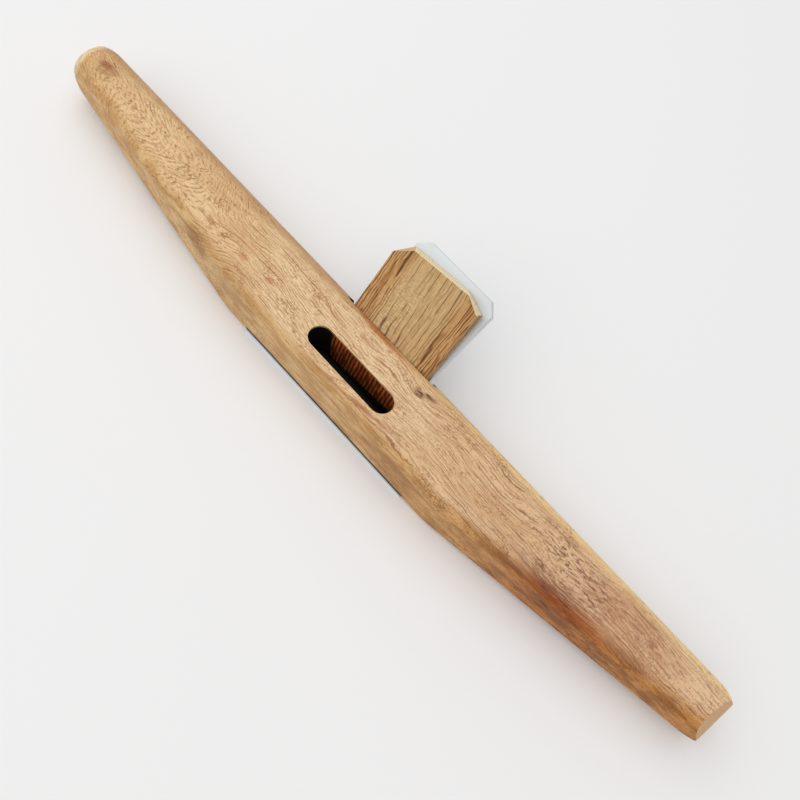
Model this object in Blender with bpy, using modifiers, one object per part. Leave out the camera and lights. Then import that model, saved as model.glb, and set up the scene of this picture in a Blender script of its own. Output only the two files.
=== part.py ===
"""Wooden spokeshave: a one-piece stock with handles, a wedged iron and a metal sole plate.

Units are metres. X runs along the handles, -Y is the front, +Z is up.
The underside of the sole plate lies at z = 0.
"""

import math

import bmesh
import bpy
from mathutils import Matrix, Vector

MM = 0.001

# Stock
LENGTH = 280 * MM
STOCK_WIDTH = 28 * MM
STOCK_TOP = 19 * MM
FLAT_LENGTH = 90 * MM
END_WIDTH = 16 * MM
END_HEIGHT = 16 * MM
SHOULDER_BLEND = 6 * MM
CORNER_STEPS = 7

# Handle ends: rounded over on the left, sawn off aslant on the right
ROUND_LENGTH = 4.3 * MM
END_DROP = 1.3 * MM
END_INSET = 0.5 * MM
RIGHT_BACK_INSET = 2.2 * MM
BEVEL_RUN = 4 * MM
BEVEL_TILT = math.radians(28)
BEVEL_TURN = math.radians(12.5)

# Corner radii of the stock's section, at the middle and at the handle ends
BACK_TOP_RADIUS = 8 * MM
BACK_TOP_RADIUS_END = 7.8 * MM
FRONT_TOP_RADIUS = 4 * MM
FRONT_TOP_RADIUS_END = 6.8 * MM
FRONT_BOTTOM_RADIUS = 1.2 * MM
FRONT_BOTTOM_RADIUS_END = 5.5 * MM
BACK_BOTTOM_RADIUS = 4 * MM
BACK_BOTTOM_RADIUS_END = 6 * MM

# Bed, mortise, chip slot and mouth
BED_ANGLE = math.radians(37)
EDGE_FROM_FRONT = 9.4 * MM
MORTISE_WIDTH = 36.6 * MM
SLOT_LENGTH = 34.2 * MM
SLOT_WIDTH = 7.8 * MM
SLOT_FROM_FRONT = 4.7 * MM
MOUTH_WIDTH = 34.6 * MM
MOUTH_OPENING = 1.3 * MM

# Iron
BLADE_WIDTH = 32.5 * MM
BLADE_LENGTH = 52 * MM
BLADE_THICKNESS = 3 * MM
BLADE_CLIP = 3.3 * MM
GRIND_ANGLE = math.radians(25)
EDGE_LIFT = 0.2 * MM
BLADE_ADVANCE = 1 * MM
BLADE_EDGE_BREAK = 0.25 * MM

# Wedge
WEDGE_WIDTH = 32 * MM
WEDGE_TOE_FROM_EDGE = 6.4 * MM
WEDGE_LENGTH = 43 * MM
WEDGE_TOE_THICKNESS = 1.5 * MM
WEDGE_ANGLE = math.radians(7.7)
WEDGE_SKEW = math.radians(5)
WEDGE_OFFSET = -0.6 * MM
WEDGE_CLIP_LEFT_ACROSS = 4.2 * MM
WEDGE_CLIP_LEFT_ALONG = 4.2 * MM
WEDGE_CLIP_RIGHT_ACROSS = 6.6 * MM
WEDGE_CLIP_RIGHT_ALONG = 3.2 * MM
WEDGE_CLIP_LEAN = 1.5 * MM
WEDGE_EDGE_BREAK = 0.35 * MM

# Sole plate and its screws
PLATE_LENGTH = 71 * MM
PLATE_THICKNESS = 1.2 * MM
PLATE_PROUD = 0.4 * MM
SCREW_FROM_END = 8.5 * MM
SCREW_FROM_EDGE = 5.5 * MM
SCREW_HEAD_RADIUS = 2.6 * MM
SCREW_HEAD_HEIGHT = 1.6 * MM
SCREW_SHANK_RADIUS = 1.3 * MM
SCREW_TIP_RADIUS = 0.5 * MM
SCREW_TIP_LENGTH = 2 * MM
SCREW_LENGTH = 9 * MM
SCREW_SINK = 0.15 * MM
SCREW_SLOT_WIDTH = 0.7 * MM
SCREW_SLOT_DEPTH = 0.6 * MM
SCREW_SIDES = 20

# Fits
FIT = 0.3 * MM
OVERCUT = 5 * MM
SOLE_OVERCUT = 1 * MM
FOLD_ANGLE = math.radians(20)

FRONT = -STOCK_WIDTH / 2
BACK = STOCK_WIDTH / 2
EDGE_Y = FRONT + EDGE_FROM_FRONT
STOCK_BOTTOM = PLATE_PROUD
BED_DIRECTION = Vector((0, math.cos(BED_ANGLE), math.sin(BED_ANGLE)))
BED_NORMAL = Vector((0, -math.sin(BED_ANGLE), math.cos(BED_ANGLE)))
EDGE_START = EDGE_LIFT / math.sin(BED_ANGLE)
BLADE_TAIL_Y = (EDGE_Y + (EDGE_START + BLADE_LENGTH) * BED_DIRECTION.y
                - BLADE_THICKNESS * BED_NORMAL.y)
# The origin lies under the middle of the whole tool, from the front face to the iron's tail
FRAME_SHIFT = -(FRONT + BLADE_TAIL_Y) / 2


def new_collection(name):
    collection = bpy.data.collections.new(name)
    bpy.context.scene.collection.children.link(collection)
    return collection


def clear_scene():
    for old in list(bpy.data.objects):
        bpy.data.objects.remove(old, do_unlink=True)
    for old in list(bpy.data.collections):
        bpy.data.collections.remove(old)


def make_material(name, color, roughness, metallic):
    material = bpy.data.materials.new(name)
    material.use_nodes = True
    shader = material.node_tree.nodes["Principled BSDF"]
    shader.inputs["Base Color"].default_value = (*color, 1)
    shader.inputs["Roughness"].default_value = roughness
    shader.inputs["Metallic"].default_value = metallic
    return material


def add_object(name, mesh, collection, parent, material=None):
    thing = bpy.data.objects.new(name, mesh)
    collection.objects.link(thing)
    thing.parent = parent
    if material:
        mesh.materials.append(material)
    return thing


def add_empty(name, collection, parent=None, location=(0, 0, 0), tilt=0.0):
    empty = bpy.data.objects.new(name, None)
    collection.objects.link(empty)
    empty.parent = parent
    empty.location = location
    empty.rotation_euler = (tilt, 0, 0)
    empty.empty_display_size = 10 * MM
    return empty


def mesh_from(builder, name):
    """Run a bmesh builder and keep its result as a closed mesh with outward faces."""
    shape = bmesh.new()
    builder(shape)
    bmesh.ops.recalc_face_normals(shape, faces=shape.faces)
    mesh = bpy.data.meshes.new(name)
    shape.to_mesh(mesh)
    shape.free()
    return mesh


def box_mesh(name, size, centre):
    def build(shape):
        bmesh.ops.create_cube(shape, size=1)
        bmesh.ops.scale(shape, vec=size, verts=shape.verts)
        bmesh.ops.translate(shape, vec=centre, verts=shape.verts)
    return mesh_from(build, name)


def outline_mesh(name, points, thickness):
    """Flat outline in the XY plane, extruded evenly to both sides of it."""
    curve = bpy.data.curves.new(name, "CURVE")
    curve.dimensions = "2D"
    curve.fill_mode = "BOTH"
    curve.extrude = thickness / 2
    spline = curve.splines.new("POLY")
    spline.points.add(len(points) - 1)
    for point, (x, y) in zip(spline.points, points):
        point.co = (x, y, 0, 1)
    spline.use_cyclic_u = True
    drawn = bpy.data.objects.new(name, curve)
    bpy.context.scene.collection.objects.link(drawn)
    bpy.context.view_layer.update()
    evaluated = drawn.evaluated_get(bpy.context.evaluated_depsgraph_get())
    mesh = bpy.data.meshes.new_from_object(evaluated)
    bpy.data.objects.remove(drawn, do_unlink=True)
    bpy.data.curves.remove(curve)

    shape = bmesh.new()
    shape.from_mesh(mesh)
    bmesh.ops.remove_doubles(shape, verts=shape.verts, dist=1e-6)
    bmesh.ops.recalc_face_normals(shape, faces=shape.faces)
    shape.to_mesh(mesh)
    shape.free()
    return mesh


def add_cutter(name, mesh, parent, collection):
    cutter = add_object(name, mesh, collection, parent)
    cutter.display_type = "WIRE"
    cutter.hide_render = True
    return cutter


def cut(target, cutter):
    modifier = target.modifiers.new("cut_" + cutter.name, "BOOLEAN")
    modifier.operation = "DIFFERENCE"
    modifier.solver = "EXACT"
    modifier.object = cutter


def break_edges(target, width, keen_end=False):
    """Soften the folded edges of a plain piece, but for a keen edge across y = 0 when it has one."""
    shape = bmesh.new()
    shape.from_mesh(target.data)
    weight = shape.edges.layers.float.new("bevel_weight_edge")
    for edge in shape.edges:
        keen = keen_end and all(vert.co.y < FIT for vert in edge.verts)
        folded = edge.calc_face_angle(0) > FOLD_ANGLE
        edge[weight] = 1.0 if folded and not keen else 0.0
    shape.to_mesh(target.data)
    shape.free()
    bevel = target.modifiers.new("edge_break", "BEVEL")
    bevel.width = width
    bevel.segments = 2
    bevel.limit_method = "WEIGHT"


def mix(start, end, share):
    return start + (end - start) * share


def section_ring(share, rounding, back_inset):
    """Rounded section of the stock: share 0 at the middle flat, 1 at the handle end.

    Rounding goes from 0 to 1 over the last stretch, where the end is rounded over.
    """
    front_in = END_INSET * rounding
    back_in = back_inset * rounding
    front = mix(FRONT, BACK - END_WIDTH, share) + front_in
    bottom = mix(STOCK_BOTTOM, STOCK_TOP - END_HEIGHT, share) + front_in
    back = BACK - back_in
    top = STOCK_TOP - END_DROP * rounding
    corners = (
        (back, top, -1, -1, mix(BACK_TOP_RADIUS, BACK_TOP_RADIUS_END, share) - back_in),
        (front, top, 1, -1, mix(FRONT_TOP_RADIUS, FRONT_TOP_RADIUS_END, share) - front_in),
        (front, bottom, 1, 1, mix(FRONT_BOTTOM_RADIUS, FRONT_BOTTOM_RADIUS_END, share) - front_in),
        (back, bottom, -1, 1, mix(BACK_BOTTOM_RADIUS, BACK_BOTTOM_RADIUS_END, share) - back_in),
    )
    ring = []
    for quarter, (y, z, side_y, side_z, radius) in enumerate(corners):
        for step in range(CORNER_STEPS + 1):
            angle = math.radians(90 * (quarter + step / CORNER_STEPS))
            ring.append((y + side_y * radius + radius * math.cos(angle),
                         z + side_z * radius + radius * math.sin(angle)))
    return ring


def stock_stations():
    """Half the stock, from the middle outwards: place, taper share and end rounding of each section."""
    taper_start = FLAT_LENGTH / 2
    taper_end = LENGTH / 2
    blend = SHOULDER_BLEND / 2

    def share(x):
        run = (x - taper_start) / (taper_end - taper_start)
        if x <= taper_start - blend:
            return 0.0
        if x < taper_start + blend:
            return (x - taper_start + blend) ** 2 / (4 * blend * (taper_end - taper_start))
        return run

    neck = taper_end - ROUND_LENGTH
    places = [taper_start - blend, taper_start - blend / 3, taper_start + blend / 3, taper_start + blend]
    places += [mix(places[-1], neck, part / 3) for part in (1, 2, 3)]
    stations = [(x, share(x), 0.0) for x in places]
    half_round = mix(neck, taper_end, 0.5)
    stations.append((half_round, share(half_round), 0.35))
    stations.append((taper_end, 1.0, 1.0))
    return stations


def build_stock(shape):
    right = stock_stations()
    left = [(-x, share, rounding) for x, share, rounding in reversed(right)]
    rings = []
    for x, share, rounding in left + right:
        back_inset = RIGHT_BACK_INSET if x > 0 else END_INSET
        ring = section_ring(share, rounding, back_inset)
        rings.append([shape.verts.new((x, y, z)) for y, z in ring])
    count = len(rings[0])
    for left, right in zip(rings, rings[1:]):
        for i in range(count):
            j = (i + 1) % count
            shape.faces.new((left[i], left[j], right[j], right[i]))
    shape.faces.new(rings[0])
    shape.faces.new(rings[-1])


def slot_points():
    """Chip slot in plan: straight sides with round ends."""
    radius = SLOT_WIDTH / 2
    centre_y = FRONT + SLOT_FROM_FRONT + radius
    reach = SLOT_LENGTH / 2 - radius
    points = []
    for side, first_angle in ((1, -90), (-1, 90)):
        for step in range(2 * CORNER_STEPS + 1):
            angle = math.radians(first_angle + 180 * step / (2 * CORNER_STEPS))
            points.append((side * reach + radius * math.cos(angle), centre_y + radius * math.sin(angle)))
    return points


def on_bed(along, lift):
    """Point of the bed's side view: distance from the edge line and height over the iron's face."""
    point = Vector((0, EDGE_Y, 0)) + BED_DIRECTION * along + BED_NORMAL * lift
    return (point.y, point.z)


def wedge_top_lift(along):
    return WEDGE_TOE_THICKNESS + (along - WEDGE_TOE_FROM_EDGE) * math.tan(WEDGE_ANGLE)


def mortise_points():
    """Side view of the bed mortise: bed below the iron, abutment over the wedge."""
    bed_lift = -BLADE_THICKNESS - FIT
    roof_gap = FIT / math.cos(WEDGE_ANGLE) + FIT
    far = BLADE_LENGTH + OVERCUT
    low = (-SOLE_OVERCUT - bed_lift * math.cos(BED_ANGLE)) / math.sin(BED_ANGLE)
    bed_low = on_bed(low, bed_lift)
    slot_middle = FRONT + SLOT_FROM_FRONT + SLOT_WIDTH / 2
    near = WEDGE_TOE_FROM_EDGE
    roof_near = on_bed(near, wedge_top_lift(near) + roof_gap)
    roof_far = on_bed(far, wedge_top_lift(far) + roof_gap)
    slope = (roof_far[1] - roof_near[1]) / (roof_far[0] - roof_near[0])
    roof_slot = roof_near[1] + slope * (slot_middle - roof_near[0])
    return [bed_low, on_bed(far, bed_lift), roof_far, (slot_middle, roof_slot), (slot_middle, bed_low[1])]


def mouth_back():
    """Rear lip of the mouth: the ground face clears it with the iron fully advanced."""
    relief = BED_ANGLE - GRIND_ANGLE
    edge_along = EDGE_START - BLADE_ADVANCE
    edge_y, edge_z = on_bed(edge_along, 0)
    return edge_y + (PLATE_THICKNESS + FIT - edge_z) / math.tan(relief)


def screw_profile(grow):
    """Half profile of a countersunk screw, head down at z = 0, grown for its hole."""
    neck = SCREW_HEAD_HEIGHT
    return [
        (0, SCREW_LENGTH + grow),
        (SCREW_TIP_RADIUS + grow, SCREW_LENGTH + grow),
        (SCREW_SHANK_RADIUS + grow, SCREW_LENGTH - SCREW_TIP_LENGTH),
        (SCREW_SHANK_RADIUS + grow, neck),
        (SCREW_HEAD_RADIUS + grow, 0),
        (SCREW_HEAD_RADIUS + grow, -grow * OVERCUT / FIT),
        (0, -grow * OVERCUT / FIT),
    ]


def turned_mesh(name, profile):
    def build(shape):
        points = [point for i, point in enumerate(profile) if i == 0 or point != profile[i - 1]]
        verts = [shape.verts.new((radius, 0, z)) for radius, z in points]
        edges = [shape.edges.new(pair) for pair in zip(verts, verts[1:])]
        bmesh.ops.spin(shape, geom=verts + edges, cent=(0, 0, 0), axis=(0, 0, 1),
                       angle=2 * math.pi, steps=SCREW_SIDES, use_merge=True)
        bmesh.ops.remove_doubles(shape, verts=shape.verts, dist=1e-6)
    return mesh_from(build, name)


def make_body(parts, cutters, frame, wood):
    body = add_object("body", mesh_from(build_stock, "body"), parts, frame, wood)

    slot = outline_mesh("slot_cutter", slot_points(), 2 * (STOCK_TOP + OVERCUT))
    cut(body, add_cutter("slot_cutter", slot, frame, cutters))

    mortise = outline_mesh("mortise_cutter", mortise_points(), MORTISE_WIDTH)
    mortise.transform(Matrix(((0, 0, 1, 0), (1, 0, 0, 0), (0, 1, 0, 0), (0, 0, 0, 1))))
    cut(body, add_cutter("mortise_cutter", mortise, frame, cutters))

    recess_top = PLATE_THICKNESS + FIT
    recess = box_mesh("recess_cutter",
                      (PLATE_LENGTH + 2 * FIT, STOCK_WIDTH + 2 * OVERCUT, recess_top + OVERCUT),
                      (0, 0, (recess_top - OVERCUT) / 2))
    cut(body, add_cutter("recess_cutter", recess, frame, cutters))

    reach = 3 * END_WIDTH
    bevel = add_cutter("bevel_cutter", box_mesh("bevel_cutter", (reach, reach, reach), (reach / 2, 0, 0)),
                       frame, cutters)
    bevel.location = (LENGTH / 2 - BEVEL_RUN, BACK - END_WIDTH / 2, STOCK_TOP)
    bevel.rotation_euler = (0, -BEVEL_TILT, -BEVEL_TURN)
    cut(body, bevel)
    return body


def make_plate(parts, cutters, frame, metal):
    plate = add_object("sole_plate",
                       box_mesh("sole_plate", (PLATE_LENGTH, STOCK_WIDTH, PLATE_THICKNESS),
                                (0, 0, PLATE_THICKNESS / 2)),
                       parts, frame, metal)
    mouth_front = EDGE_Y - MOUTH_OPENING
    depth = mouth_back() - mouth_front
    mouth = box_mesh("mouth_cutter", (MOUTH_WIDTH, depth, 2 * OVERCUT), (0, mouth_front + depth / 2, 0))
    cut(plate, add_cutter("mouth_cutter", mouth, frame, cutters))
    return plate


def make_screws(parts, cutters, frame, metal, body, plate):
    hole_mesh = turned_mesh("screw_hole", screw_profile(FIT))
    for row, side_y in (("front", -1), ("back", 1)):
        for end, side_x in (("left", -1), ("right", 1)):
            place = (side_x * (PLATE_LENGTH / 2 - SCREW_FROM_END),
                     side_y * (STOCK_WIDTH / 2 - SCREW_FROM_EDGE),
                     SCREW_SINK)
            label = row + "_" + end
            hole = add_cutter("hole_" + label, hole_mesh, frame, cutters)
            hole.location = place
            cut(body, hole)
            cut(plate, hole)
            screw = add_object("sole_screw_" + label, turned_mesh("sole_screw_" + label, screw_profile(0)),
                               parts, frame, metal)
            screw.location = place
            slot = box_mesh("drive_" + label,
                            (4 * SCREW_HEAD_RADIUS, SCREW_SLOT_WIDTH, 2 * SCREW_SLOT_DEPTH), (0, 0, 0))
            drive = add_cutter("drive_" + label, slot, frame, cutters)
            drive.location = place
            cut(screw, drive)


def make_blade(parts, slide, steel):
    """The iron, in bed axes: Y runs up the bed, Z stands off it, the face lies at z = 0."""
    def build(shape):
        bmesh.ops.create_cube(shape, size=1)
        bmesh.ops.scale(shape, vec=(BLADE_WIDTH, BLADE_LENGTH, BLADE_THICKNESS), verts=shape.verts)
        bmesh.ops.translate(shape, vec=(0, BLADE_LENGTH / 2, -BLADE_THICKNESS / 2), verts=shape.verts)
        for vert in shape.verts:
            if vert.co.y < BLADE_THICKNESS and vert.co.z < -BLADE_THICKNESS / 2:
                vert.co.y += BLADE_THICKNESS / math.tan(GRIND_ANGLE)
        tail_edges = [edge for edge in shape.edges
                      if all(vert.co.y > BLADE_LENGTH - FIT for vert in edge.verts)
                      and abs(edge.verts[0].co.z - edge.verts[1].co.z) > FIT]
        bmesh.ops.bevel(shape, geom=tail_edges, offset=BLADE_CLIP, segments=1, affect="EDGES")
    blade = add_object("blade", mesh_from(build, "blade"), parts, slide, steel)
    break_edges(blade, BLADE_EDGE_BREAK, keen_end=True)
    return blade


def make_wedge(parts, slide, wood):
    """The wedge, in bed axes: flat on the iron, tail square to its sloping top, corners cut aslant."""
    half = WEDGE_WIDTH / 2
    toe = -WEDGE_LENGTH / 2
    tail = WEDGE_LENGTH / 2
    points = [
        (-half, toe),
        (half, toe),
        (half, tail - WEDGE_CLIP_RIGHT_ALONG),
        (half - WEDGE_CLIP_RIGHT_ACROSS, tail),
        (-half + WEDGE_CLIP_LEFT_ACROSS, tail),
        (-half, tail - WEDGE_CLIP_LEFT_ALONG),
    ]
    mesh = outline_mesh("wedge", points, 2 * WEDGE_TOE_THICKNESS)
    for vert in mesh.vertices:
        height = WEDGE_TOE_THICKNESS + (vert.co.y - toe) * math.tan(WEDGE_ANGLE)
        lean = WEDGE_CLIP_LEAN if vert.co.y > tail - FIT else 0
        if vert.co.z < 0:
            vert.co.x -= lean
            vert.co.z = 0
        elif vert.co.y > 0:
            vert.co.x += lean
            vert.co.y -= height * math.sin(WEDGE_ANGLE) * math.cos(WEDGE_ANGLE)
            vert.co.z = height * math.cos(WEDGE_ANGLE) ** 2
        else:
            vert.co.z = height
    wedge = add_object("wedge", mesh, parts, slide, wood)
    wedge.location = (WEDGE_OFFSET, WEDGE_TOE_FROM_EDGE + WEDGE_LENGTH / 2, FIT)
    wedge.rotation_euler = (0, 0, WEDGE_SKEW)
    break_edges(wedge, WEDGE_EDGE_BREAK)
    return wedge


def main():
    clear_scene()
    parts = new_collection("spokeshave")
    cutters = new_collection("cutters")

    stock_wood = make_material("stock_wood", (0.66, 0.47, 0.29), 0.5, 0.0)
    wedge_wood = make_material("wedge_wood", (0.50, 0.35, 0.18), 0.55, 0.0)
    tool_steel = make_material("tool_steel", (0.78, 0.80, 0.83), 0.3, 1.0)
    plate_metal = make_material("plate_metal", (0.62, 0.62, 0.60), 0.35, 1.0)
    screw_metal = make_material("screw_metal", (0.55, 0.55, 0.54), 0.4, 1.0)

    frame = add_empty("tool_frame", parts, location=(0, FRAME_SHIFT, 0))
    bed = add_empty("bed_frame", parts, frame, (0, EDGE_Y, 0), BED_ANGLE)
    blade_slide = add_empty("blade_slide", parts, bed, (0, EDGE_START, 0))
    wedge_slide = add_empty("wedge_slide", parts, bed)

    body = make_body(parts, cutters, frame, stock_wood)
    plate = make_plate(parts, cutters, frame, plate_metal)
    make_screws(parts, cutters, frame, screw_metal, body, plate)
    make_blade(parts, blade_slide, tool_steel)
    make_wedge(parts, wedge_slide, wedge_wood)


main()
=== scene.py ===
"""Looks of the wooden spokeshave: finishes, light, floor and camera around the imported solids."""

import math

import bmesh
import bpy
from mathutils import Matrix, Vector


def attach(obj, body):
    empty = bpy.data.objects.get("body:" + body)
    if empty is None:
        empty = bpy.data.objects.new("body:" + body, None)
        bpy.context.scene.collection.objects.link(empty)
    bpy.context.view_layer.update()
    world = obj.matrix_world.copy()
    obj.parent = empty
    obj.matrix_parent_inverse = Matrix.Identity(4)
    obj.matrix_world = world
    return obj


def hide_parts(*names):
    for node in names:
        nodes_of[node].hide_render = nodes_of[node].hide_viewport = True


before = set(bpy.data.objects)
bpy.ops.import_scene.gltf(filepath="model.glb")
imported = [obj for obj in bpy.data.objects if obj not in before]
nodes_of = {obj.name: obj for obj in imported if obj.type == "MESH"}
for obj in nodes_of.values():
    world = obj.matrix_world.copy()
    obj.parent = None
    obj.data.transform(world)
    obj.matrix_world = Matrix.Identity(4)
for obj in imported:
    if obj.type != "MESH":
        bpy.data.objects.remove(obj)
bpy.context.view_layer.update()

MM = 0.001


def mm(*values):
    """Lengths in metres, given in millimetres."""
    return tuple(value * MM for value in values)


def rgb(red, green, blue):
    """Linear colour from an eight-bit screen colour."""
    def linear(value):
        share = value / 255
        return share / 12.92 if share <= 0.04045 else ((share + 0.055) / 1.055) ** 2.4
    return (linear(red), linear(green), linear(blue), 1.0)


# Camera, fitted to the photograph's outline of the tool
CAMERA_PLACE = mm(61.1, -117.01, 238.38)
CAMERA_TURN = tuple(math.radians(angle) for angle in (24.91, -11.425, 46.472))
CAMERA_LENS = 38.4
CAMERA_SENSOR = 36.0
CAMERA_NEAR = 1 * MM

# Floor and light
FLOOR_SIZE = 3.0
FLOOR_COLOR = (0.9, 0.915, 0.94, 1.0)
FLOOR_ROUGHNESS = 0.9
SKY_COLOR = (1.0, 0.985, 0.97, 1.0)
SKY_STRENGTH = 0.52
LIGHT_AIM = (0, 0, 0)
KEY_PLACE = (-0.25, -0.3, 1.05)
KEY_SIZE = 2.4
KEY_POWER = 13.0
KEY_COLOR = (1.0, 0.97, 0.93)
CARD_PLACE = (-0.8, 0.5, 0.7)
CARD_SIZE = 0.8
CARD_POWER = 1.2
CARD_COLOR = (1.0, 0.98, 0.95)

# Edges of the stock, broken by hand
EDGE_BREAK = 0.35 * MM
EDGE_BREAK_STEPS = 3
MERGE_GAP = 0.001 * MM
FLAT_ANGLE = math.radians(0.6)
FOLD_ANGLE = math.radians(38)

# Axes of the iron and wedge
BED_ANGLE = math.radians(37)
BED_DIRECTION = (0, math.cos(BED_ANGLE), math.sin(BED_ANGLE))
BED_NORMAL = (0, -math.sin(BED_ANGLE), math.cos(BED_ANGLE))
EDGE_PLACE = mm(0, -17.1, 0)
WEDGE_SKEW = math.radians(5)
WEDGE_SLOPE = math.tan(math.radians(7.7))
WEDGE_MIDDLE = 27.9 * MM
WEDGE_OFFSET = -0.6 * MM
WEDGE_TOE = 6.4 * MM
WEDGE_TOE_THICKNESS = 1.5 * MM

# Hollows of the stock
MORTISE_HALF = 18.3 * MM
MORTISE_FLOOR = -3.3 * MM
ROOF_GAP = 0.6 * MM
SLOT_HALF = 17.1 * MM
SLOT_FRONT = -21.8 * MM
SLOT_BACK = -14 * MM
STOCK_TOP = 19 * MM
WALL_SOFT = 0.15 * MM
WALL_ROUGHNESS = 0.95

# Notches beside the wedge and the line over the plate, both black as painted shadow
NOTCH_Y = -0.4 * MM
NOTCH_Z = 16 * MM
NOTCH_RADII = mm(1.9, 1.6, 2.4)
NOTCH_SHADOW_SHARE = 0.97
PLATE_HALF = 35.8 * MM
PLATE_SHADOW_LINE = mm(2.7, 2.1)
PLATE_SHADOW_LINE_SOFT = 0.5 * MM
PLATE_SHADOW_LINE_SHARE = 0.93

# Brown sawn wall behind the chip slot: its strokes, and its painted shadow edges at its bottom and
# left, past which the wall is painted black as shade
SAW_PITCH = 1.3 * MM
SAW_LEAN = -0.08
SAW_UNEVEN_SIZE = mm(0.8, 30, 5)
SAW_UNEVEN_SHARE = 3.6
SAW_STROKE_SHARE = 0.6
SAW_LIMITS = (1.4, 2.9)
SHADOW_EDGE_LOW = mm(6.4, 8.4)
SHADOW_EDGE_LOW_LEAN = -0.14
SHADOW_EDGE_LEFT = mm(-10.6, -9.9)
SHADOW_EDGE_LEFT_LEAN = 0.12
BACK_WALL = (SLOT_BACK + 0.6 * MM, SLOT_BACK + 0.3 * MM)
FRONT_WALL = (SLOT_FRONT + 3 * MM, SLOT_FRONT + 1 * MM)
WALL_LIGHT = rgb(188, 100, 34)
WALL_DARK = rgb(88, 34, 8)
# Black used as painted shade in the hollows and as painted shadow in the notches and the line over
# the plate
PAINTED_SHADE_BLACK = rgb(4, 3, 2)
WALL_DULL = rgb(104, 68, 40)

# Wander of the stock's grain: size of its waves along X, Y and Z, and how far they move it
SLOW_WAVES = mm(44, 15, 15), mm(0, 10, 10)
SHORT_WAVES = mm(9, 4, 4), mm(0, 1.3, 1.3)
CURLY_WAVES = mm(1.8, 1.0, 1.0), mm(0, 0.45, 0.45)

# Grain lines of the stock: spacing, length, width as a share of the spacing, share broken away
FAINT_LINES = (0.78 * MM, 5 * MM, 0.3, 0.4)
LONG_LINES = (1.9 * MM, 14 * MM, 0.13, 0.44)
LINE_CORE = 0.02
LINE_FADE = 0.16
LINE_BREAK_WIDTH = 0.9
LINE_PACE = 2.0
LINE_AXIS = (0, 1, 0.8)
ARCH_AXIS = (0.3, 0, 0.8)
ARCH_MIDDLE = -11.5 * MM
ARCH_REACH = 14 * MM

# Sizes of the stock's other figure along X, Y and Z
RAGGED_SIZE = mm(26, 6, 6)
PACE_SIZE = mm(200, 3, 3)
FIBRE_SIZE = mm(7, 0.35, 0.35)
SPECK_SIZE = mm(0.62, 0.4, 0.4)
CROWD_SIZE = mm(9, 3.5, 3.5)
CURL_SIZE = mm(1.7, 0.9, 0.9)
SCAR_SIZE = mm(2.4, 0.75, 0.75)
PATCH_SIZE = mm(40, 8, 8)
MOTTLE_SIZE = mm(9, 4, 4)
RING_CENTRE = mm(0, -8, -20)
RING_SIZE = mm(1000, 0.2, 0.2)
FLECK_CENTRE = mm(88, -10, 16)
FLECK_RADII = mm(30, 9, 9)

# Limits between which the stock's figure comes in
SPECK_EDGE = (0.5, 0.22)
SPECK_CHOICE = (0.5, 0.95)
CURL_EDGE = (0.07, 0.02)
CURL_CROWD = (0.52, 0.64)
SCAR_LIMITS = (0.53, 0.62)
FLECK_CROWD = 0.7
FLECK_LIMITS = (0.6, 1.2)
MOTTLE_LIMITS = (0.4, 0.62)
STREAK_LIMITS = (0.34, 0.58)

# Turns of the surface between which front, back and ends come in
RAGGED_REACH = 0.45
FRONT_TURN = (0.35, 1.15)
BACK_TURN = (0.4, 0.95)
BACK_FACE_TURN = (0.6, 0.97)
EMBER_TURN = (-1.0, -0.8)
LEFT_END_TURN = (-0.16, -0.4)
RIGHT_END_TURN = (0.3, 0.7)

# Stretches along the stock: where a change starts and where it is complete
PINKER = mm(-30, 110)
ARCHED = mm(-45, -85)
MORE_CURLS = mm(128, 112)
GOLDEN_BACK = mm(-30, 65)
GOLDEN_FRONT = mm(-30, 120)

# Stretches along the stock with two soft ends: from, to, softness
PALE_MIDDLE = mm(-45, 30, 15)
EMBER_STRETCH = mm(70, 106, 16)

# Shares of the stock's tones and figure
PALE_MIDDLE_SHARE = 0.5
FRONT_SHARE = 0.95
BACK_SHARE = 0.85
END_SHARE = 0.85
FAINT_SHARE = 0.55
LONG_SHARE = 0.65
SPECK_SHARE = 0.6
CURL_SHARE = 0.6
FLECK_SHARE = 0.75
END_SPECK_SHARE = 0.5
RIGHT_END_CURLS = 0.4
LOW_EMBER = 0.55
LEAST_STREAK = 0.4
FRONT_FIGURE_LOSS = 0.15
BACK_FIGURE_LOSS = 0.3

# Layers of tone on the stock: limits of what brings them, share, colour
LEFT_END_LAYER = (mm(-105, -135), 0.5, rgb(208, 166, 112))
RIGHT_END_LAYER = (mm(112, 134), 0.6, rgb(236, 202, 162))
PATCH_LAYER = ((0.42, 0.72), 0.5, rgb(206, 160, 112))
FIBRE_LAYER = ((0.4, 0.75), 0.55, rgb(188, 138, 92))
RING_LAYER = ((-0.3, 1.0), 0.35, rgb(176, 128, 78))

# Colours of the stock's top, back, front, figure and ends
STRAW = rgb(234, 203, 156)
PINK_TAN = rgb(224, 187, 150)
PALE_TAN = rgb(238, 212, 174)
BACK_BROWN = rgb(192, 150, 102)
BACK_TAN = rgb(224, 184, 138)
# Painted highlight, golden, on the back's rounded edge
BACK_EDGE_HIGHLIGHT = rgb(255, 218, 148)
FRONT_STRAW = rgb(222, 186, 132)
FRONT_BROWN = rgb(196, 152, 96)
FRONT_GOLD = rgb(206, 142, 66)
FRONT_GOLD_DARK = rgb(152, 96, 40)
EMBER = rgb(172, 86, 20)
EMBER_DARK = rgb(110, 42, 6)
LINE_LEFT = rgb(158, 104, 60)
LINE_RIGHT = rgb(130, 84, 64)
LINE_FRONT = rgb(92, 40, 14)
FLECK_PURPLE = rgb(100, 60, 54)
# End grain: paler on the left end as painted light, darker on the right end as painted shade
END_LEFT_LIT = rgb(242, 224, 182)
END_RIGHT_SHADED = rgb(216, 172, 116)

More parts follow.
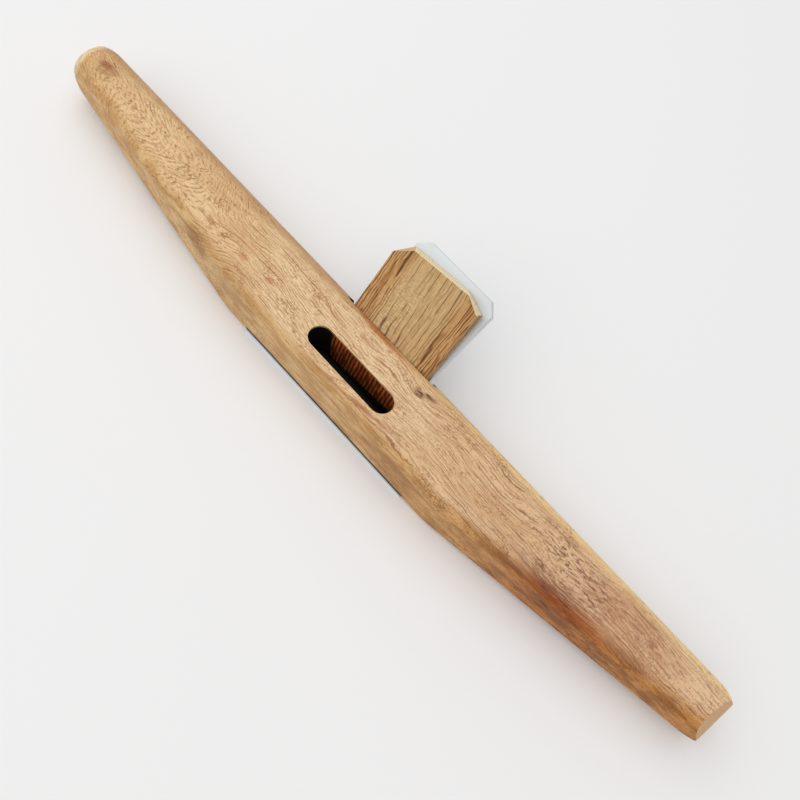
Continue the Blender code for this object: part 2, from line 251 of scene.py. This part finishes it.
# Single marks on the stock: centre, radii, share, colour
STOCK_MARKS = (
    # Knot beside the bridge
    (mm(18.3, -5.6, 18), mm(2.8, 1.2, 6), 1.0, rgb(86, 36, 16)),
    (mm(21.5, -4.4, 18), mm(3.6, 1.0, 6), 0.95, rgb(100, 46, 22)),
    # Stains on the bridge and on the left end
    (mm(-4, -2.2, 17), mm(15, 2.2, 5), 0.9, rgb(176, 98, 42)),
    (mm(-129, -7, 18), mm(6, 4, 6), 0.75, rgb(146, 90, 50)),
    # Swirls left of the slot
    (mm(-48, -18.4, 18), mm(2.6, 1.4, 6), 0.7, rgb(182, 110, 58)),
    (mm(-37, -17.6, 18), mm(2.6, 1.2, 6), 0.6, rgb(176, 102, 56)),
    (mm(-30.5, -3.2, 17), mm(5, 1.4, 6), 0.65, rgb(184, 118, 70)),
    # Reddish line by the front edge, and browner places on the front
    (mm(4, -25, 18), mm(32, 0.8, 4), 0.8, rgb(160, 86, 44)),
    (mm(-63, -22, 12), mm(10, 6, 8), 0.8, rgb(142, 86, 42)),
    (mm(-44, -24, 12), mm(14, 6, 8), 0.45, rgb(158, 110, 64)),
    (mm(30, -26, 10), mm(16, 5, 9), 0.45, rgb(150, 100, 54)),
    # Dark reddish stretch on the right handle
    (mm(84, -18, 12), mm(10, 4, 5), 0.85, rgb(104, 44, 18)),
    (mm(101, -16, 12), mm(7, 3, 5), 0.8, rgb(104, 44, 18)),
    (mm(84, -17, 15), mm(20, 6, 10), 0.85, rgb(108, 40, 8)),
    # Pinker top of the right handle
    (mm(104, -11, 16), mm(26, 9, 12), 0.6, rgb(174, 120, 84)),
)

# Wander of the wedge's grain, as for the stock, in the wedge's own axes
WEDGE_SLOW_WAVES = mm(9, 20, 9), mm(2.6, 0, 2.6)
WEDGE_SHORT_WAVES = mm(3, 4.5, 3), mm(0.75, 0, 0.75)

# Lines of the wedge: their spacing, crowding to the sides, turns with depth, and width
WEDGE_LINE_PITCH = 2.5 * MM
WEDGE_CROWD = 9.5 * MM
WEDGE_CROWD_POWER = 3.0
WEDGE_LINE_PACE = 3.0
WEDGE_DEPTH_TURNS = 0.12 / MM
WEDGE_LINE_WIDTH = 0.1
WEDGE_SIDE_WIDTH = 0.16
WEDGE_LINE_CORE = 0.01
WEDGE_SIDES = mm(7, 12.5)
WEDGE_SIDES_MIDDLE = 0.5 * MM

# Sizes of the wedge's other figure across it, along it and in depth
WEDGE_PACE_SIZE = mm(3.2, 400, 12)
WEDGE_FADE_SIZE = mm(1.5, 18, 1.5)
WEDGE_FIBRE_SIZE = mm(0.3, 6, 0.3)
WEDGE_BROAD_SIZE = mm(1.3, 40, 1.3)
WEDGE_SCUFF_SIZE = mm(1.6, 0.4, 1.6)
WEDGE_SPECKLE_SIZE = mm(0.5, 3, 0.9)
WEDGE_SAW_SIZE = mm(0.45, 12, 0.45)
WORN_CENTRE = mm(-5, 4, 6)
WORN_RADII = mm(9, 16, 20)

# Limits between which the wedge's figure, tail and the toe's painted shade come in, and their
# shares
WEDGE_FADE_LIMITS = (0.34, 0.52)
WEDGE_SHADE_LIMITS = (0.05, 0.5)
WEDGE_SHADE_SHARE = 0.2
WEDGE_STREAK_LIMITS = (0.46, 0.62)
WEDGE_STREAK_SHARE = 0.7
WEDGE_SCUFF_LIMITS = (0.48, 0.66)
WEDGE_SCUFF_SHARE = 0.5
WEDGE_SPECKLE_LIMITS = (0.4, 0.75)
WEDGE_SAW_LIMITS = (0.42, 0.58)
MIDDLE_LINE_SHARE = 0.75
SIDE_LINE_SHARE = 0.92
TAIL_TURN = (0.42, 0.7)
TAIL_SHARE = 0.9
LEFT_CUT_TURN = (-0.3, -0.5)
TOE_STRETCH = mm(-5, -11)
TOE_SHADE_SHARE = 0.85

# Colours of the wedge, and its layer of fibres as for the stock
WEDGE_FIBRE_LAYER = ((0.38, 0.75), 0.6, rgb(162, 116, 66))
WEDGE_TAN = rgb(212, 180, 130)
WEDGE_SIDE_TAN = rgb(212, 168, 112)
WEDGE_STREAK = rgb(150, 94, 42)
WEDGE_SHADE = rgb(150, 100, 52)
WEDGE_SCUFF = rgb(236, 214, 170)
WEDGE_LINE = rgb(84, 46, 18)
WEDGE_END = rgb(255, 240, 202)
WEDGE_END_SPECKLE = rgb(234, 204, 154)
WEDGE_END_LEFT = rgb(212, 176, 136)
# Painted shade on the toe, light and dark along its saw marks
TOE_SHADE_BROWN = rgb(176, 100, 44)
TOE_SHADE_DARK = rgb(104, 54, 22)

# Gloss and relief of both woods
GLOSS_LIMITS = (0.3, 0.8)
WOOD_SPECULAR = 0.2
WOOD_RELIEF = 0.05 * MM
WOOD_RELIEF_STRENGTH = 0.7
STOCK_ROUGHNESS = (0.42, 0.56)
STOCK_LINE_ROUGHNESS = 0.2
STOCK_FIBRE_HEIGHT = 0.4
WEDGE_ROUGHNESS = (0.5, 0.66)
WEDGE_FIBRE_HEIGHT = 0.5

# Metals: colour, size of the strokes, roughness, depth of the strokes
STEEL = (rgb(207, 213, 217), mm(18, 0.2, 0.2), 0.36, 0.008 * MM)
PLATE = (rgb(214, 216, 218), mm(22, 0.16, 0.16), 0.34, 0.006 * MM)
SCREW = (rgb(190, 188, 184), mm(0.5, 0.5, 0.5), 0.4, 0.006 * MM)
CLOUD_SIZE = mm(14, 9, 9)
CLOUD_LIMITS = (0.4, 0.75)
CLOUD_SHARE = 0.7
CLOUD_DULLING = 0.84
STROKE_LIMITS = (0.25, 0.75)
STROKE_SMOOTHER = 0.06
STROKE_ROUGHER = 0.1
STROKE_STRENGTH = 0.6
STEEL_SPECULAR = 0.1
# Painted shade: black on the iron's face by the edge and on the plate's upper side
STEEL_PAINTED_SHADE = rgb(4, 3, 3)
STEEL_PAINTED_SHADE_STRETCH = mm(1.5, 15, 1.2)
STEEL_PAINTED_SHADE_SHARE = 0.96
STEEL_FACE_TURN = (0.6, 0.9)
PLATE_PAINTED_SHADE = rgb(10, 8, 7)
PLATE_UPPER_TURN = (0.4, 0.8)


class Graph:
    """Short way to write a material's node tree."""

    BEND_DETAIL = 1.5
    SPOT_LIMITS = (1.0, 0.3)

    def __init__(self, name):
        self.material = bpy.data.materials.new(name)
        self.material.use_nodes = True
        self.tree = self.material.node_tree
        self.shader = self.tree.nodes["Principled BSDF"]

    def put(self, socket, value):
        if isinstance(value, bpy.types.NodeSocket):
            self.tree.links.new(value, socket)
        else:
            socket.default_value = value

    def add(self, kind, inputs=(), **settings):
        node = self.tree.nodes.new("ShaderNode" + kind)
        for key, value in settings.items():
            setattr(node, key, value)
        for key, value in dict(inputs).items():
            self.put(node.inputs[key], value)
        return node

    def surface(self, **values):
        for key, value in values.items():
            self.put(self.shader.inputs[key.replace("_", " ")], value)

    def place(self):
        return self.add("TexCoord").outputs["Object"]

    def normal(self):
        return self.add("NewGeometry").outputs["Normal"]

    def math(self, operation, a, b=0.5, c=0.5):
        return self.add("Math", {0: a, 1: b, 2: c}, operation=operation).outputs[0]

    def times(self, *values):
        product = values[0]
        for value in values[1:]:
            product = self.math("MULTIPLY", product, value)
        return product

    def sum_of(self, value, factor, rest):
        """Value times a factor, plus the rest."""
        return self.math("MULTIPLY_ADD", value, factor, rest)

    def less(self, value):
        """One minus a share."""
        return self.math("SUBTRACT", 1.0, value)

    def off_half(self, share):
        """Distance of a share from one half."""
        return self.math("ABSOLUTE", self.math("SUBTRACT", share, 0.5))

    def step(self, value, limits, start=0.0, end=1.0):
        """Smooth step from start to end, as a value goes from the first limit to the second."""
        node = self.add("MapRange", {"Value": value, "From Min": limits[0],
                                     "From Max": limits[1], "To Min": start, "To Max": end},
                        interpolation_type="SMOOTHSTEP")
        return node.outputs["Result"]

    def within(self, value, low, high, soft):
        """Share of a value that lies between two limits."""
        return self.times(self.step(value, (low - soft, low + soft)),
                          self.step(value, (high + soft, high - soft)))

    def mix(self, factor, a, b):
        node = self.add("Mix", data_type="RGBA")
        colors = [socket for socket in node.inputs if socket.type == "RGBA"]
        self.put(node.inputs[0], factor)
        self.put(colors[0], a)
        self.put(colors[1], b)
        return next(socket for socket in node.outputs if socket.type == "RGBA")

    def layer(self, tone, value, limits, share, color):
        """Tone covered by a colour, up to a share, as a value goes between limits."""
        return self.mix(self.step(value, limits, end=share), tone, color)

    def split(self, vector):
        return self.add("SeparateXYZ", {0: vector}).outputs

    def shift(self, vector, offset):
        return self.add("VectorMath", {0: vector, 1: offset}, operation="ADD").outputs[0]

    def back_from(self, vector, origin):
        """Vector counted from an origin."""
        return self.shift(vector, tuple(-value for value in origin))

    def stretch(self, vector, sizes):
        """Vector in units of the given sizes along X, Y and Z."""
        node = self.add("VectorMath", {0: vector, 1: tuple(1 / size for size in sizes)},
                        operation="MULTIPLY")
        return node.outputs[0]

    def dot(self, vector, axis):
        node = self.add("VectorMath", {0: vector, 1: axis}, operation="DOT_PRODUCT")
        return node.outputs["Value"]

    def noise(self, vector, sizes, detail=3.0, roughness=0.5, output="Fac"):
        """Noise with waves of the given sizes along X, Y and Z."""
        node = self.add("TexNoise", {"Vector": self.stretch(vector, sizes), "Scale": 1.0,
                                     "Detail": detail, "Roughness": roughness})
        return node.outputs[output]

    def cells(self, vector, sizes):
        """Scattered cells of the given sizes along X, Y and Z."""
        node = self.add("TexVoronoi", {"Vector": self.stretch(vector, sizes), "Scale": 1.0,
                                       "Randomness": 1.0})
        return node.outputs

    def bend(self, vector, sizes, reach):
        """Vector moved about by noise of the given sizes, by at most half the reach."""
        color = self.noise(vector, sizes, detail=self.BEND_DETAIL, output="Color")
        centred = self.shift(color, (-0.5, -0.5, -0.5))
        moved = self.add("VectorMath", {0: centred, 1: reach, 2: vector},
                         operation="MULTIPLY_ADD")
        return moved.outputs[0]

    def away(self, place, centre, radii):
        """Distance from a centre, in units of the radii."""
        scaled = self.stretch(self.back_from(place, centre), radii)
        return self.add("VectorMath", {0: scaled}, operation="LENGTH").outputs["Value"]

    def spot(self, place, centre, radii):
        """Share of a soft-edged spot."""
        return self.step(self.away(place, centre, radii), self.SPOT_LIMITS)

    def bump(self, height, distance, strength):
        node = self.add("Bump", {"Height": height, "Distance": distance, "Strength": strength})
        return node.outputs[0]


def hollow_share(graph, place):
    """Share of the inner walls of the mortise and chip slot."""
    x, y, z = graph.split(place)[:3]
    from_edge = graph.back_from(place, EDGE_PLACE)
    along = graph.dot(from_edge, BED_DIRECTION)
    lift = graph.dot(from_edge, BED_NORMAL)
    roof = graph.sum_of(along, WEDGE_SLOPE,
                        WEDGE_TOE_THICKNESS + ROOF_GAP - WEDGE_TOE * WEDGE_SLOPE)
    soft = WALL_SOFT
    mortise = graph.times(graph.within(x, -MORTISE_HALF - soft, MORTISE_HALF + soft, soft),
                          graph.step(lift, (MORTISE_FLOOR - 2 * soft, MORTISE_FLOOR)),
                          graph.step(graph.math("SUBTRACT", lift, roof), (2 * soft, 0.0)))
    slot = graph.times(graph.within(x, -SLOT_HALF - soft, SLOT_HALF + soft, soft),
                       graph.within(y, SLOT_FRONT - soft, SLOT_BACK + soft, soft),
                       graph.step(z, (STOCK_TOP - 2 * soft, STOCK_TOP - 8 * soft)))
    return graph.math("MAXIMUM", mortise, slot)


def wall_tones_and_shade(graph, place):
    """Colour of the hollows: black as painted shade, with a brown sawn wall behind the chip slot
    where light falls on it.
    """
    x, y, z = graph.split(place)[:3]
    turns = graph.sum_of(z, SAW_LEAN / SAW_PITCH * math.tau,
                         graph.math("DIVIDE", x, SAW_PITCH / math.tau))
    uneven = graph.noise(place, SAW_UNEVEN_SIZE, detail=2)
    stroke = graph.sum_of(uneven, SAW_UNEVEN_SHARE,
                          graph.times(graph.math("SINE", turns), SAW_STROKE_SHARE))
    brown = graph.mix(graph.step(stroke, SAW_LIMITS), WALL_DARK, WALL_LIGHT)
    # Painted shadow edges: below and left of them the walls are painted black as shade
    above_shadow_edge = graph.step(graph.sum_of(x, SHADOW_EDGE_LOW_LEAN, z), SHADOW_EDGE_LOW)
    behind = graph.times(graph.step(y, BACK_WALL), above_shadow_edge,
                         graph.step(graph.sum_of(z, SHADOW_EDGE_LEFT_LEAN, x), SHADOW_EDGE_LEFT))
    before = graph.times(graph.step(y, FRONT_WALL), above_shadow_edge)
    tone = graph.mix(behind, PAINTED_SHADE_BLACK, brown)
    return graph.mix(before, tone, WALL_DULL)


def stock_lines(graph, x, grain, curly):
    """Thin lines counted across the grain and broken along it: many faint, a few long ones.

    On the left handle they run in arches.
    """
    straight = graph.dot(curly, LINE_AXIS)
    middle = graph.math("ADD", graph.split(curly)[1], -ARCH_MIDDLE)
    arch = graph.sum_of(middle, graph.times(middle, 1 / ARCH_REACH), graph.dot(curly, ARCH_AXIS))
    arched = graph.step(x, ARCHED)
    across = graph.math("ADD", graph.times(straight, graph.less(arched)),
                        graph.times(arch, arched))
    pace = graph.noise(grain, PACE_SIZE, detail=1)

    def lines(spacing, length, width, gaps):
        count = graph.sum_of(pace, LINE_PACE, graph.times(across, 1 / spacing))
        break_width = spacing * LINE_BREAK_WIDTH
        broken = graph.noise(grain, (length, break_width, break_width), detail=2)
        line = graph.step(graph.off_half(graph.math("FRACT", count)), (width, LINE_CORE))
        return graph.times(line, graph.step(broken, (gaps, gaps + LINE_FADE)))

    return lines(*FAINT_LINES), lines(*LONG_LINES)


def stock_specks(graph, place, x, grain, curly):
    """Specks and small curls between the lines, and flecks gathered on the right handle."""
    dot = graph.cells(curly, SPECK_SIZE)
    speck = graph.times(graph.step(dot["Distance"], SPECK_EDGE),
                        graph.step(graph.split(dot["Color"])[0], SPECK_CHOICE))
    crowd = graph.noise(grain, CROWD_SIZE, detail=2)
    curl = graph.noise(curly, CURL_SIZE, detail=1.5)
    squiggle = graph.times(graph.step(graph.off_half(curl), CURL_EDGE),
                           graph.step(crowd, CURL_CROWD),
                           graph.step(x, MORE_CURLS, start=RIGHT_END_CURLS))
    scar = graph.noise(curly, SCAR_SIZE, detail=2.5, roughness=0.65)
    zone = graph.sum_of(crowd, FLECK_CROWD, graph.spot(place, FLECK_CENTRE, FLECK_RADII))
    fleck = graph.times(graph.step(scar, SCAR_LIMITS), graph.step(zone, FLECK_LIMITS))
    return speck, squiggle, fleck


def stock_ground(graph, place, x, right, fibre):
    """Straw tan, pinker to the right, with a pale middle, browner patches and fibres."""
    tone = graph.mix(right, STRAW, PINK_TAN)
    pale = graph.times(graph.within(x, *PALE_MIDDLE), PALE_MIDDLE_SHARE)
    tone = graph.mix(pale, tone, PALE_TAN)
    tone = graph.layer(tone, x, *LEFT_END_LAYER)
    tone = graph.layer(tone, graph.noise(place, PATCH_SIZE), *PATCH_LAYER)
    tone = graph.layer(tone, fibre, *FIBRE_LAYER)
    return graph.layer(tone, x, *RIGHT_END_LAYER)


def stock_back(graph, x, backward):
    """Brown back, tan to the right, with a golden painted highlight on its rounded edge."""
    golden = graph.mix(graph.step(backward, BACK_FACE_TURN), BACK_EDGE_HIGHLIGHT, BACK_TAN)
    return graph.mix(graph.step(x, GOLDEN_BACK), BACK_BROWN, golden)


def stock_front(graph, x, backward, grain):
    """Mottled brown front, golden to the right, with a dark reddish stretch on the handle."""
    mottle = graph.noise(grain, MOTTLE_SIZE, detail=5, roughness=0.6)
    golden = graph.step(x, GOLDEN_FRONT)
    ember = graph.times(graph.within(x, *EMBER_STRETCH),
                        graph.step(backward, EMBER_TURN, start=LOW_EMBER))
    light = graph.mix(ember, graph.mix(golden, FRONT_STRAW, FRONT_GOLD), EMBER)
    dark = graph.mix(ember, graph.mix(golden, FRONT_BROWN, FRONT_GOLD_DARK), EMBER_DARK)
    return graph.mix(graph.step(mottle, MOTTLE_LIMITS), light, dark)


def stock_end(graph, right, grain, speck, line_tone):
    """End grain with rings and specks, paler on the left end as painted light and darker on the
    right end as painted shade.
    """
    ring = graph.math("SINE", graph.away(grain, RING_CENTRE, RING_SIZE))
    tone = graph.layer(graph.mix(right, END_LEFT_LIT, END_RIGHT_SHADED), ring, *RING_LAYER)
    return graph.mix(graph.times(speck, END_SPECK_SHARE), tone, line_tone)


def stock_wood():
    """Light tan hardwood: thin broken lines along a wandering grain, specks, a browner front."""
    graph = Graph("stock_wood_finish")
    place = graph.place()
    x, _, z = graph.split(place)[:3]
    sideways, backward = graph.split(graph.normal())[:2]
    grain = graph.bend(graph.bend(place, *SLOW_WAVES), *SHORT_WAVES)
    curly = graph.bend(grain, *CURLY_WAVES)

    # Front and back have ragged limits and less figure; the wood changes from left to right
    ragged = graph.noise(place, RAGGED_SIZE)
    forward = graph.math("MULTIPLY", backward, -1.0)
    front = graph.step(graph.sum_of(ragged, RAGGED_REACH, forward), FRONT_TURN)
    back = graph.step(graph.sum_of(ragged, RAGGED_REACH, backward), BACK_TURN)
    figured = graph.times(graph.less(graph.times(front, FRONT_FIGURE_LOSS)),
                          graph.less(graph.times(back, BACK_FIGURE_LOSS)))
    right = graph.step(x, PINKER)

    fibre = graph.noise(curly, FIBRE_SIZE, detail=2)
    faint, long = stock_lines(graph, x, grain, curly)
    speck, squiggle, fleck = stock_specks(graph, place, x, grain, curly)

    # Colour of the ground, back and front, with the figure over it
    tone = stock_ground(graph, place, x, right, fibre)
    # The back's rounded edge carries a painted highlight
    back_tone = stock_back(graph, x, backward)
    tone = graph.mix(graph.times(back, BACK_SHARE), tone, back_tone)
    front_tone = stock_front(graph, x, backward, grain)
    tone = graph.mix(graph.times(front, FRONT_SHARE), tone, front_tone)

    line_tone = graph.mix(right, LINE_LEFT, graph.mix(front, LINE_RIGHT, LINE_FRONT))
    for figure, share in ((faint, FAINT_SHARE), (long, LONG_SHARE),
                          (speck, SPECK_SHARE), (squiggle, CURL_SHARE)):
        tone = graph.mix(graph.times(figure, figured, share), tone, line_tone)
    tone = graph.mix(graph.times(fleck, figured, FLECK_SHARE), tone, FLECK_PURPLE)

    # Single marks, broken up by the fibres, then the end grain
    streaky = graph.step(fibre, STREAK_LIMITS, start=LEAST_STREAK)
    for centre, radii, share, color in STOCK_MARKS:
        mark = graph.spot(curly, centre, radii)
        tone = graph.mix(graph.times(mark, streaky, share), tone, color)

    end = graph.math("MAXIMUM", graph.step(sideways, LEFT_END_TURN),
                     graph.step(sideways, RIGHT_END_TURN))
    end_tone = stock_end(graph, right, grain, speck, line_tone)
    tone = graph.mix(graph.times(end, END_SHARE), tone, end_tone)

    # Painted shadow in the notches beside the wedge, painted shade in the hollows, and the black
    # painted shadow line over the plate
    for side in (-1, 1):
        notch_shadow = graph.spot(place, (side * MORTISE_HALF, NOTCH_Y, NOTCH_Z), NOTCH_RADII)
        tone = graph.mix(graph.times(notch_shadow, NOTCH_SHADOW_SHARE), tone, PAINTED_SHADE_BLACK)
    hollow = hollow_share(graph, place)
    tone = graph.mix(hollow, tone, wall_tones_and_shade(graph, place))
    # Painted shadow of the gap between wood and plate: a black line low on the front
    plate_gap_shadow = graph.times(graph.step(z, PLATE_SHADOW_LINE),
                        graph.within(x, -PLATE_HALF, PLATE_HALF, PLATE_SHADOW_LINE_SOFT))
    tone = graph.mix(graph.times(plate_gap_shadow, PLATE_SHADOW_LINE_SHARE), tone, PAINTED_SHADE_BLACK)

    # Long lines and flecks are duller and lie deeper
    rough = graph.math("MAXIMUM", long, fleck)
    dullness = graph.sum_of(rough, STOCK_LINE_ROUGHNESS,
                            graph.step(fibre, GLOSS_LIMITS, *STOCK_ROUGHNESS))
    dullness = graph.math("MAXIMUM", dullness, graph.times(hollow, WALL_ROUGHNESS))
    height = graph.math("SUBTRACT", graph.times(fibre, STOCK_FIBRE_HEIGHT),
                        graph.times(rough, figured))
    graph.surface(Base_Color=tone, Roughness=dullness, Specular_IOR_Level=WOOD_SPECULAR,
                  Normal=graph.bump(height, WOOD_RELIEF, WOOD_RELIEF_STRENGTH))
    return graph.material


def wedge_place(graph):
    """Place in the wedge's own axes: X across it, Y along it from its middle, Z off the iron."""
    level = graph.add("Mapping", {"Vector": graph.place(), "Location": EDGE_PLACE,
                                  "Rotation": (BED_ANGLE, 0, 0)}, vector_type="TEXTURE")
    own = graph.add("Mapping", {"Vector": level.outputs[0],
                                "Location": (WEDGE_OFFSET, WEDGE_MIDDLE, 0),
                                "Rotation": (0, 0, WEDGE_SKEW)}, vector_type="TEXTURE")
    return own.outputs[0]


def wedge_lines(graph, grain, sides):
    """Lines along the wedge that wander a little and crowd towards its sides, and their shade."""
    width, _, depth = graph.split(grain)[:3]
    pace = graph.noise(grain, WEDGE_PACE_SIZE, detail=1)
    count = graph.sum_of(pace, WEDGE_LINE_PACE, graph.math("DIVIDE", width, WEDGE_LINE_PITCH))
    crowded = graph.math("POWER", graph.math("DIVIDE", width, WEDGE_CROWD), WEDGE_CROWD_POWER)
    count = graph.math("ADD", count, crowded)
    turn = graph.math("FRACT", graph.sum_of(depth, WEDGE_DEPTH_TURNS, count))
    fade = graph.noise(grain, WEDGE_FADE_SIZE, detail=2)
    line_width = graph.sum_of(sides, WEDGE_SIDE_WIDTH, WEDGE_LINE_WIDTH)
    line = graph.times(graph.step(graph.off_half(turn), (line_width, WEDGE_LINE_CORE)),
                       graph.step(fade, WEDGE_FADE_LIMITS))
    return line, graph.step(turn, WEDGE_SHADE_LIMITS)


def wedge_wood():
    """Brown hardwood with thin wavy dark lines along its length and a pale sawn tail."""
    graph = Graph("wedge_wood_finish")
    place = wedge_place(graph)
    across, along = graph.split(place)[:2]
    normal = graph.normal()
    grain = graph.bend(graph.bend(place, *WEDGE_SLOW_WAVES), *WEDGE_SHORT_WAVES)
    off_middle = graph.math("ABSOLUTE", graph.math("ADD", across, -WEDGE_SIDES_MIDDLE))
    sides = graph.step(off_middle, WEDGE_SIDES)
    line, shade = wedge_lines(graph, grain, sides)
    fibre = graph.noise(grain, WEDGE_FIBRE_SIZE, detail=2)
    broad = graph.noise(grain, WEDGE_BROAD_SIZE, detail=2)

    tone = graph.mix(sides, WEDGE_TAN, WEDGE_SIDE_TAN)
    tone = graph.layer(tone, fibre, *WEDGE_FIBRE_LAYER)
    streak = graph.times(graph.step(broad, WEDGE_STREAK_LIMITS), sides, WEDGE_STREAK_SHARE)
    tone = graph.mix(streak, tone, WEDGE_STREAK)
    tone = graph.mix(graph.times(shade, WEDGE_SHADE_SHARE), tone, WEDGE_SHADE)

    # Pale scuffs across the middle, then the dark lines
    scuff = graph.noise(place, WEDGE_SCUFF_SIZE)
    worn = graph.spot(place, WORN_CENTRE, WORN_RADII)
    scuffed = graph.times(graph.step(scuff, WEDGE_SCUFF_LIMITS), worn, WEDGE_SCUFF_SHARE)
    tone = graph.mix(scuffed, tone, WEDGE_SCUFF)
    strength = graph.step(sides, (0.0, 1.0), MIDDLE_LINE_SHARE, SIDE_LINE_SHARE)
    tone = graph.mix(graph.times(line, strength), tone, WEDGE_LINE)

    # The tail shows end grain; the toe is darkened as painted shade, in two browns that follow its
    # saw marks
    tail = graph.step(graph.dot(normal, BED_DIRECTION), TAIL_TURN)
    left_cut = graph.step(graph.split(normal)[0], LEFT_CUT_TURN)
    speckle = graph.step(graph.noise(place, WEDGE_SPECKLE_SIZE, detail=2), WEDGE_SPECKLE_LIMITS)
    end_tone = graph.mix(speckle, WEDGE_END, WEDGE_END_SPECKLE)
    end_tone = graph.mix(left_cut, end_tone, WEDGE_END_LEFT)
    tone = graph.mix(graph.times(tail, TAIL_SHARE), tone, end_tone)
    saw = graph.step(graph.noise(place, WEDGE_SAW_SIZE, detail=1), WEDGE_SAW_LIMITS)
    toe = graph.times(graph.step(along, TOE_STRETCH), TOE_SHADE_SHARE)
    tone = graph.mix(toe, tone, graph.mix(saw, TOE_SHADE_BROWN, TOE_SHADE_DARK))

    height = graph.math("SUBTRACT", graph.times(fibre, WEDGE_FIBRE_HEIGHT), line)
    graph.surface(Base_Color=tone, Roughness=graph.step(fibre, GLOSS_LIMITS, *WEDGE_ROUGHNESS),
                  Specular_IOR_Level=WOOD_SPECULAR,
                  Normal=graph.bump(height, WOOD_RELIEF, WOOD_RELIEF_STRENGTH))
    return graph.material


def brushed(name, color, stroke, roughness, depth):
    """Satin metal with fine strokes and a few soft stains."""
    graph = Graph(name)
    place = graph.place()
    marks = graph.noise(place, stroke)
    cloud = graph.noise(place, CLOUD_SIZE)
    dull = tuple(value * CLOUD_DULLING for value in color[:3]) + (1.0,)
    tone = graph.layer(color, cloud, CLOUD_LIMITS, CLOUD_SHARE, dull)
    worn = graph.step(marks, STROKE_LIMITS, roughness - STROKE_SMOOTHER,
                      roughness + STROKE_ROUGHER)
    graph.surface(Base_Color=tone, Metallic=1.0, Roughness=worn,
                  Normal=graph.bump(marks, depth, STROKE_STRENGTH))
    return graph


def darken(graph, covered, tone):
    """Cover a share of a metal with a dull dark tone, which is painted shade where it is used
    here.
    """
    finish = graph.shader.inputs["Base Color"].links[0].from_socket
    graph.surface(Base_Color=graph.mix(covered, finish, tone), Metallic=graph.less(covered))


def tool_steel():
    """Satin iron; its face next to the edge, deep in the throat, is painted black as shade."""
    graph = brushed("tool_steel_finish", *STEEL)
    along = graph.dot(graph.back_from(graph.place(), EDGE_PLACE), BED_DIRECTION)
    face = graph.step(graph.dot(graph.normal(), BED_NORMAL), STEEL_FACE_TURN)
    by_edge = graph.within(along, *STEEL_PAINTED_SHADE_STRETCH)
    darken(graph, graph.times(face, by_edge, STEEL_PAINTED_SHADE_SHARE), STEEL_PAINTED_SHADE)
    graph.surface(Specular_IOR_Level=STEEL_SPECULAR)
    return graph.material


def plate_metal():
    """Satin sole plate, with its upper side, which lies against the wood, painted black as shade.
    """
    graph = brushed("plate_metal_finish", *PLATE)
    upper = graph.step(graph.split(graph.normal())[2], PLATE_UPPER_TURN)
    # Painted shade: the upper side, seen only down the throat, is black
    darken(graph, upper, PLATE_PAINTED_SHADE)
    return graph.material


def screw_metal():
    return brushed("screw_metal_finish", *SCREW).material


def dress(node, material):
    thing = nodes_of[node]
    thing.data.materials.clear()
    thing.data.materials.append(material)


def add_stock(material):
    """The stock with its sharp edges broken and its rounded sections shaded smooth."""
    shape = bmesh.new()
    shape.from_mesh(nodes_of["body"].data)
    bmesh.ops.remove_doubles(shape, verts=shape.verts, dist=MERGE_GAP)
    bmesh.ops.dissolve_limit(shape, angle_limit=FLAT_ANGLE, verts=shape.verts, edges=shape.edges)
    mesh = bpy.data.meshes.new("stock")
    shape.to_mesh(mesh)
    shape.free()
    mesh.materials.append(material)
    mesh.shade_smooth()
    stock = bpy.data.objects.new("stock", mesh)
    bpy.context.scene.collection.objects.link(stock)
    bevel = stock.modifiers.new("edge_break", "BEVEL")
    bevel.width = EDGE_BREAK
    bevel.segments = EDGE_BREAK_STEPS
    bevel.limit_method = "ANGLE"
    bevel.angle_limit = FOLD_ANGLE
    bevel.harden_normals = True
    stock.modifiers.new("even_normals", "WEIGHTED_NORMAL")
    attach(stock, "stock")
    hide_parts("body")


def add_floor():
    bpy.ops.mesh.primitive_plane_add(size=FLOOR_SIZE, location=(0, 0, 0))
    floor = bpy.context.object
    floor.name = "floor"
    graph = Graph("floor_finish")
    graph.surface(Base_Color=FLOOR_COLOR, Roughness=FLOOR_ROUGHNESS)
    floor.data.materials.append(graph.material)


def add_area_light(name, place, size, power, color):
    light = bpy.data.lights.new(name, "AREA")
    light.size = size
    light.energy = power
    light.color = color
    lamp = bpy.data.objects.new(name, light)
    bpy.context.scene.collection.objects.link(lamp)
    lamp.location = place
    toward = Vector(LIGHT_AIM) - Vector(place)
    lamp.rotation_euler = toward.to_track_quat("-Z", "Y").to_euler()


def add_lights():
    world = bpy.data.worlds.new("studio")
    bpy.context.scene.world = world
    world.use_nodes = True
    sky = world.node_tree.nodes["Background"]
    sky.inputs["Color"].default_value = SKY_COLOR
    sky.inputs["Strength"].default_value = SKY_STRENGTH
    add_area_light("key", KEY_PLACE, KEY_SIZE, KEY_POWER, KEY_COLOR)
    add_area_light("card", CARD_PLACE, CARD_SIZE, CARD_POWER, CARD_COLOR)
    bpy.context.scene.view_settings.view_transform = "Standard"


def add_camera():
    camera = bpy.data.cameras.new("camera")
    camera.lens = CAMERA_LENS
    camera.sensor_width = CAMERA_SENSOR
    camera.clip_start = CAMERA_NEAR
    holder = bpy.data.objects.new("camera", camera)
    bpy.context.scene.collection.objects.link(holder)
    holder.location = CAMERA_PLACE
    holder.rotation_euler = CAMERA_TURN
    bpy.context.scene.camera = holder


def main():
    add_stock(stock_wood())
    dress("wedge", wedge_wood())
    dress("blade", tool_steel())
    dress("sole_plate", plate_metal())
    screws = screw_metal()
    for name in nodes_of:
        if name.startswith("sole_screw"):
            dress(name, screws)
    add_floor()
    add_lights()
    add_camera()


main()
